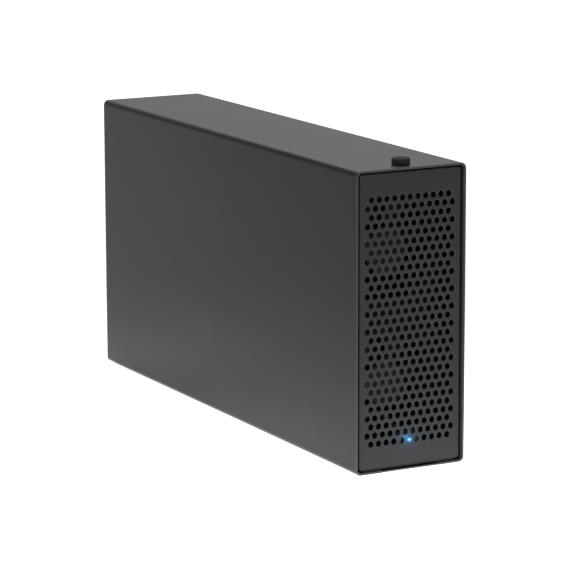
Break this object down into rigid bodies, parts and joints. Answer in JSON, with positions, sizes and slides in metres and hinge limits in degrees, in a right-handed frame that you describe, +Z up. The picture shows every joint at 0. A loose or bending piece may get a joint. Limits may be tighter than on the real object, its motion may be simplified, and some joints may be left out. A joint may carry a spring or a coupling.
{
  "type": "pcie expansion chassis",
  "caption": "Tall narrow desktop chassis for expansion cards: a dark folded sleeve round a sled with a perforated front, cooling fans, card slots and a power supply.",
  "frame": {"origin": "middle of the footprint, on the surface that the feet stand on", "axes": "-Y the front with the grille, +X to the right seen from the front, +Z up"},
  "size_m": [0.0904, 0.425, 0.2275],
  "materials": {
    "sleeve_coat": "dark satin coat with a fine grain",
    "grille_coat": "dark satin coat",
    "foot_rubber": "matt",
    "screw_black": "black, knurled",
    "zinc_sheet": "zinc-plated sheet",
    "rear_coat": "dark coat",
    "bracket_nickel": "nickel-plated",
    "fan_plastic": "moulded, fine grain",
    "light_lens": "clear lens, lit blue",
    "holder_plastic": "moulded",
    "board_green": "solder mask",
    "lead_red": "twin lead, red and black",
    "lead_black": "sleeved leads",
    "psu_sheet": "plain sheet",
    "connector_black": "moulded",
    "connector_white": "moulded",
    "pin_brass": "plated",
    "chip_black": "moulded",
    "heatsink_aluminium": "extruded, anodised"
  },
  "bodies": {
    "sleeve": {"outer_sleeve": "sleeve_coat", "foot_front_left": "foot_rubber", "foot_front_right": "foot_rubber", "foot_rear_left": "foot_rubber", "foot_rear_right": "foot_rubber"},
    "thumbscrew": {"thumbscrew": "screw_black", "retaining_ring": "zinc_sheet"},
    "lock_nut": {"lock_nut": "zinc_sheet"},
    "upper_fan": {"fan_rotor_upper": "fan_plastic"},
    "lower_fan": {"fan_rotor_lower": "fan_plastic"},
    "supply_fan": {"psu_fan_rotor": "fan_plastic"},
    "sled": {"front_grille": "grille_coat", "base_pan": "zinc_sheet", "side_wall_left": "zinc_sheet", "side_wall_right": "zinc_sheet", "pan_rear_wall": "zinc_sheet", "backplane_shelf": "zinc_sheet", "board_standoffs": "zinc_sheet", "psu_fan_guard": "zinc_sheet", "rear_panel": "rear_coat", "fan_bracket": "rear_coat", "slot_cover_1": "bracket_nickel", "slot_cover_2": "bracket_nickel", "slot_cover_3": "bracket_nickel", "interface_bracket": "bracket_nickel", "host_port_1": "bracket_nickel", "host_port_2": "bracket_nickel", "fan_frame_upper": "fan_plastic", "fan_frame_lower": "fan_plastic", "light_pipe": "light_lens", "led_holder": "holder_plastic", "led_board": "board_green", "backplane_board": "board_green", "interface_card": "board_green", "led_lead": "lead_red", "fan_lead_upper": "lead_black", "fan_lead_lower": "lead_black", "power_harness": "lead_black", "psu_case": "psu_sheet", "psu_inlet": "connector_black", "card_slot_1": "connector_black", "card_slot_2": "connector_black", "card_slot_3": "connector_black", "interface_slot": "connector_black", "power_header": "connector_black", "power_plug": "connector_white", "fan_headers": "connector_white", "inlet_pins": "pin_brass", "interface_chip": "chip_black", "bridge_chip": "chip_black", "interface_heatsink": "heatsink_aluminium", "bridge_heatsink": "heatsink_aluminium"}
  },
  "joints": [
    {"name": "thumbscrew_turn", "type": "hinge", "parent": "sleeve", "child": "thumbscrew", "pos_m": [0, -0.1965, 0.223], "axis": [0, 0, 1], "range_deg": [0, 1080]},
    {"name": "lock_nut_drop", "type": "slide", "parent": "sleeve", "child": "lock_nut", "axis": [0, 0, -1], "range_m": [0, 0.0021]},
    {"name": "sled_slide", "type": "slide", "parent": "sleeve", "child": "sled", "axis": [0, -1, 0], "range_m": [0, 0.375]},
    {"name": "upper_fan_spin", "type": "hinge", "parent": "sled", "child": "upper_fan", "pos_m": [0, -0.165, 0.15779], "axis": [0, 1, 0], "continuous": true},
    {"name": "lower_fan_spin", "type": "hinge", "parent": "sled", "child": "lower_fan", "pos_m": [0, -0.165, 0.05781], "axis": [0, 1, 0], "continuous": true},
    {"name": "supply_fan_spin", "type": "hinge", "parent": "sled", "child": "supply_fan", "pos_m": [-0.018, 0.195, 0.02535], "axis": [0, 1, 0], "continuous": true}
  ],
  "couplings": [
    {"joint": "lock_nut_drop", "follows": "thumbscrew_turn", "m_per_rad": 0.00011141}
  ]
}
